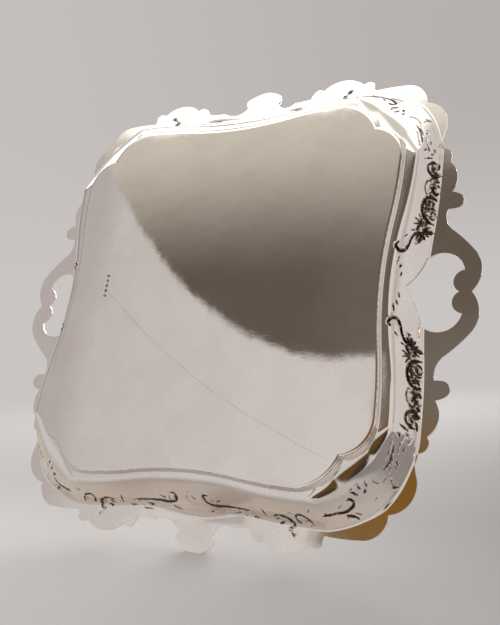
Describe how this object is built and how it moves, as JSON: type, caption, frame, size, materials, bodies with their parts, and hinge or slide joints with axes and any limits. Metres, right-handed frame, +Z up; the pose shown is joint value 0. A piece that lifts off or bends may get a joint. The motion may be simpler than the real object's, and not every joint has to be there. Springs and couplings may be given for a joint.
{
  "type": "two-handled serving tray",
  "caption": "Square silver serving tray with a recessed plain well, a chased sloping border, a scrolled flat rim and a pierced finger-hole handle on each side.",
  "frame": {"origin": "middle of the underside of the base panel, which is the lowest face, on the surface that the tray rests on", "axes": "+X from the left handle to the right handle, the longest way; +Y from the front to the back; +Z up, out of the well"},
  "size_m": [0.5958, 0.583, 0.0543],
  "materials": {
    "satin_silver": "hand-polished satin silver with fine scratches",
    "chased_silver": "bright silver, chased and embossed, tarnished dark in the hollows",
    "cast_silver": "bright cast silver, tarnished dark in the hollows"
  },
  "bodies": {
    "root": {"corner_border_back_left": "chased_silver", "corner_border_back_right": "chased_silver", "corner_border_front_left": "chased_silver", "corner_border_front_right": "chased_silver", "corner_mount_back_left": "cast_silver", "corner_mount_back_right": "cast_silver", "corner_mount_front_left": "cast_silver", "corner_mount_front_right": "cast_silver", "crest_border_back": "chased_silver", "crest_border_front": "chased_silver", "crest_mount_back": "cast_silver", "crest_mount_front": "cast_silver", "handle_border_left": "chased_silver", "handle_border_right": "chased_silver", "handle_mount_left": "cast_silver", "handle_mount_right": "cast_silver", "long_scroll_mount_back_left": "cast_silver", "long_scroll_mount_back_right": "cast_silver", "long_scroll_mount_front_left": "cast_silver", "long_scroll_mount_front_right": "cast_silver", "side_scroll_mount_back_left": "cast_silver", "side_scroll_mount_back_right": "cast_silver", "side_scroll_mount_front_left": "cast_silver", "side_scroll_mount_front_right": "cast_silver", "well_sheet": "satin_silver"}
  },
  "joints": []
}
